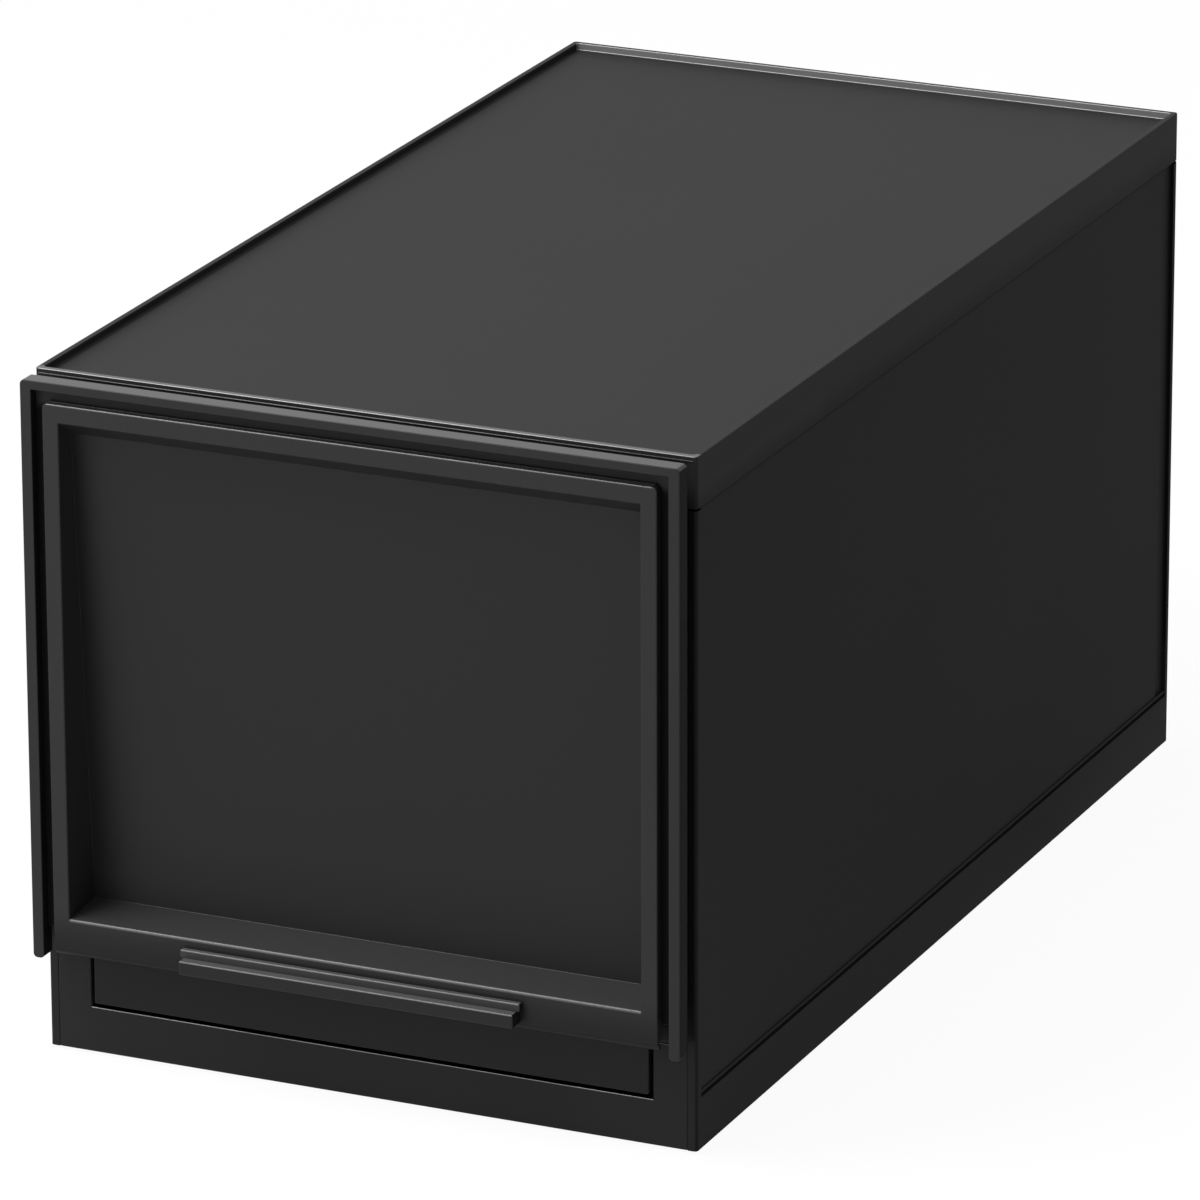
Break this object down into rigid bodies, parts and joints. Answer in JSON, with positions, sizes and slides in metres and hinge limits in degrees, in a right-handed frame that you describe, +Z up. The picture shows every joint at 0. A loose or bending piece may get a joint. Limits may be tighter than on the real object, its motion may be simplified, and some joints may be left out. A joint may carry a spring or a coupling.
{
  "type": "stackable drawer box",
  "caption": "Black moulded plastic storage casing with a raised stacking lip and one deep sliding drawer behind a framed, recessed front with a stepped pull bar.",
  "frame": {"origin": "on the floor, under the middle of the whole closed box, its drawer front and handle included", "axes": "+X to the right as seen from the front, -Y out of the drawer's front, +Z up"},
  "size_m": [0.25, 0.4742, 0.2532],
  "materials": {
    "casing_plastic": "satin black moulded polypropylene, fine grain",
    "drawer_plastic": "satin black moulded polypropylene, fine grain",
    "tub_plastic": "satin black moulded polypropylene, smooth inside",
    "runner_plastic": "smooth black moulded plastic",
    "screw_steel": "zinc-plated steel"
  },
  "bodies": {
    "casing": {"top_cover": "casing_plastic", "left_side_panel": "casing_plastic", "right_side_panel": "casing_plastic", "back_panel": "casing_plastic", "base_tray": "casing_plastic", "left_runner": "runner_plastic", "right_runner": "runner_plastic", "corner_feet": "runner_plastic"},
    "drawer": {"drawer_tub": "tub_plastic", "drawer_bezel": "drawer_plastic", "front_panel": "drawer_plastic", "pull_handle": "drawer_plastic", "bezel_screws": "screw_steel", "handle_screws": "screw_steel"}
  },
  "joints": [
    {"name": "drawer_slide", "type": "slide", "parent": "casing", "child": "drawer", "axis": [0, -1, 0], "range_m": [0, 0.36]}
  ]
}
